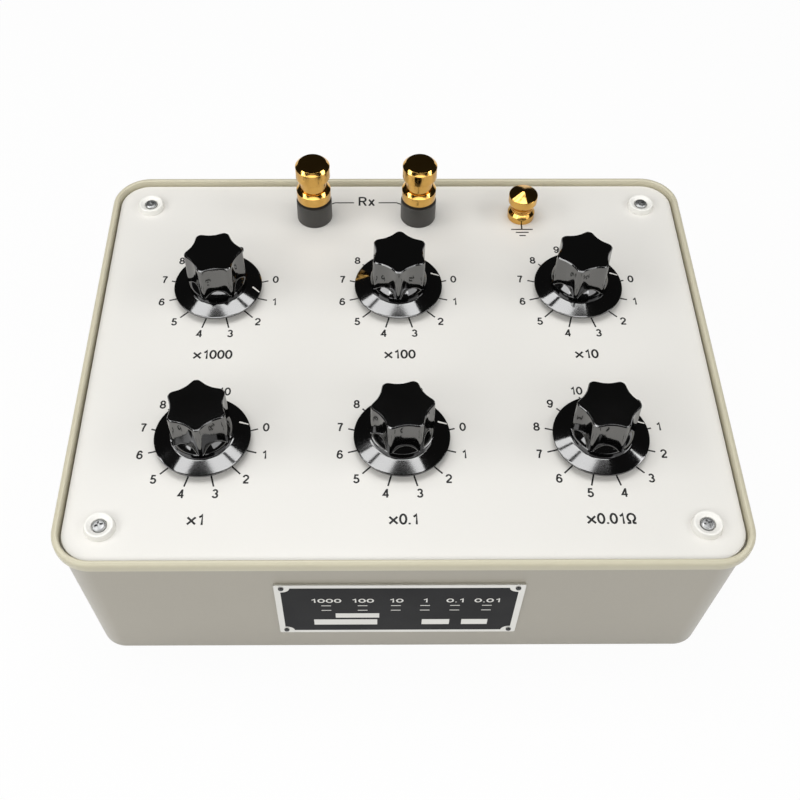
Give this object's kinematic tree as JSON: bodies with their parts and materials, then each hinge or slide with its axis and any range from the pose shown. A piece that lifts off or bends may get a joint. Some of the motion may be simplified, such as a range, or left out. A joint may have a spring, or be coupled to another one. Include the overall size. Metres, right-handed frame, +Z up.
{
  "type": "decade resistance box",
  "caption": "Bench decade resistance box: drafted tub with a sunk white panel, skirted star knobs that switch wound resistor decades, brass binding posts and an earth post.",
  "frame": {"origin": "middle of the base on the surface that the box stands on", "axes": "+X to the right along the panel, +Y to the back, +Z up"},
  "size_m": [0.2764, 0.2166, 0.1154],
  "materials": {
    "case_shell": "smooth moulded, satin gloss, warm grey-beige",
    "panel_white": "flat white sheet, satin",
    "cup_white": "moulded white, smooth",
    "zinc_steel": "bright zinc plate",
    "plate_black": "black printed aluminium with a bare border",
    "turned_brass": "turned, unpolished",
    "polished_brass": "turned and polished",
    "deck_phenolic": "paper phenolic sheet",
    "bar_copper": "bright copper strip",
    "insulator_black": "moulded black, satin",
    "winding_enamel": "enamelled wire on a bobbin",
    "knob_bakelite": "polished black bakelite",
    "spindle_steel": "ground steel",
    "arm_bronze": "spring bronze strip"
  },
  "bodies": {
    "case": {"case_tub": "case_shell", "front_panel": "panel_white", "screw_cups": "cup_white", "panel_screws": "zinc_steel", "nameplate": "plate_black", "nameplate_rivets": "zinc_steel", "index_plates": "zinc_steel", "spindle_bushes": "turned_brass", "bush_nuts": "zinc_steel", "deck_pillars": "turned_brass", "deck_screws": "zinc_steel", "switch_decks": "deck_phenolic", "contact_studs": "turned_brass", "collector_rings": "turned_brass", "link_bars": "bar_copper", "lead_straps": "bar_copper", "post_insulators": "insulator_black", "post_washers": "insulator_black", "post_studs": "turned_brass", "stud_nuts": "zinc_steel", "earth_stud": "polished_brass", "resistors_x1000": "winding_enamel", "resistors_x100": "winding_enamel", "resistors_x10": "winding_enamel", "resistors_x1": "winding_enamel", "resistors_x0_1": "winding_enamel", "resistors_x0_01": "winding_enamel"},
    "knob_x1000": {"knob_head_x1000": "knob_bakelite", "knob_skirt_x1000": "knob_bakelite", "spindle_x1000": "spindle_steel", "contact_arm_x1000": "arm_bronze"},
    "knob_x100": {"knob_head_x100": "knob_bakelite", "knob_skirt_x100": "knob_bakelite", "spindle_x100": "spindle_steel", "contact_arm_x100": "arm_bronze"},
    "knob_x10": {"knob_head_x10": "knob_bakelite", "knob_skirt_x10": "knob_bakelite", "spindle_x10": "spindle_steel", "contact_arm_x10": "arm_bronze"},
    "knob_x1": {"knob_head_x1": "knob_bakelite", "knob_skirt_x1": "knob_bakelite", "spindle_x1": "spindle_steel", "contact_arm_x1": "arm_bronze"},
    "knob_x0_1": {"knob_head_x0_1": "knob_bakelite", "knob_skirt_x0_1": "knob_bakelite", "spindle_x0_1": "spindle_steel", "contact_arm_x0_1": "arm_bronze"},
    "knob_x0_01": {"knob_head_x0_01": "knob_bakelite", "knob_skirt_x0_01": "knob_bakelite", "spindle_x0_01": "spindle_steel", "contact_arm_x0_01": "arm_bronze"},
    "clamp_left": {"clamp_collar_left": "polished_brass"},
    "nut_left": {"post_nut_left": "polished_brass"},
    "clamp_right": {"clamp_collar_right": "polished_brass"},
    "nut_right": {"post_nut_right": "polished_brass"},
    "earth_clamp": {"earth_washer": "polished_brass"},
    "earth_thumb_nut": {"earth_nut": "polished_brass"}
  },
  "joints": [
    {"name": "turn_x1000", "type": "hinge", "parent": "case", "child": "knob_x1000", "pos_m": [-0.0824, 0.03515, 0.082], "axis": [0, 0, -1], "range_deg": [-30, 270]},
    {"name": "turn_x100", "type": "hinge", "parent": "case", "child": "knob_x100", "pos_m": [0, 0.03515, 0.082], "axis": [0, 0, -1], "range_deg": [0, 300]},
    {"name": "turn_x10", "type": "hinge", "parent": "case", "child": "knob_x10", "pos_m": [0.0824, 0.03515, 0.082], "axis": [0, 0, -1], "range_deg": [0, 300]},
    {"name": "turn_x1", "type": "hinge", "parent": "case", "child": "knob_x1", "pos_m": [-0.0824, -0.04865, 0.082], "axis": [0, 0, -1], "range_deg": [0, 300]},
    {"name": "turn_x0_1", "type": "hinge", "parent": "case", "child": "knob_x0_1", "pos_m": [0, -0.04865, 0.082], "axis": [0, 0, -1], "range_deg": [0, 300]},
    {"name": "turn_x0_01", "type": "hinge", "parent": "case", "child": "knob_x0_01", "pos_m": [0.0824, -0.04865, 0.082], "axis": [0, 0, -1], "range_deg": [-30, 270]},
    {"name": "rise_left", "type": "slide", "parent": "case", "child": "clamp_left", "axis": [0, 0, 1], "range_m": [-0.0011, 0.004]},
    {"name": "screw_left", "type": "hinge", "parent": "clamp_left", "child": "nut_left", "pos_m": [-0.0396, 0.0838, 0.082], "axis": [0, 0, 1], "range_deg": [-398, 1444]},
    {"name": "rise_right", "type": "slide", "parent": "case", "child": "clamp_right", "axis": [0, 0, 1], "range_m": [-0.0011, 0.004]},
    {"name": "screw_right", "type": "hinge", "parent": "clamp_right", "child": "nut_right", "pos_m": [0.0104, 0.0838, 0.082], "axis": [0, 0, 1], "range_deg": [-398, 1444]},
    {"name": "rise_earth", "type": "slide", "parent": "case", "child": "earth_clamp", "axis": [0, 0, 1], "range_m": [0, 0.0032]},
    {"name": "screw_earth", "type": "hinge", "parent": "earth_clamp", "child": "earth_thumb_nut", "pos_m": [0.0604, 0.0838, 0.082], "axis": [0, 0, 1], "range_deg": [-2, 1444]}
  ],
  "couplings": [
    {"joint": "screw_left", "follows": "rise_left", "rad_per_m": 6283.2},
    {"joint": "screw_right", "follows": "rise_right", "rad_per_m": 6283.2},
    {"joint": "screw_earth", "follows": "rise_earth", "rad_per_m": 7854}
  ]
}
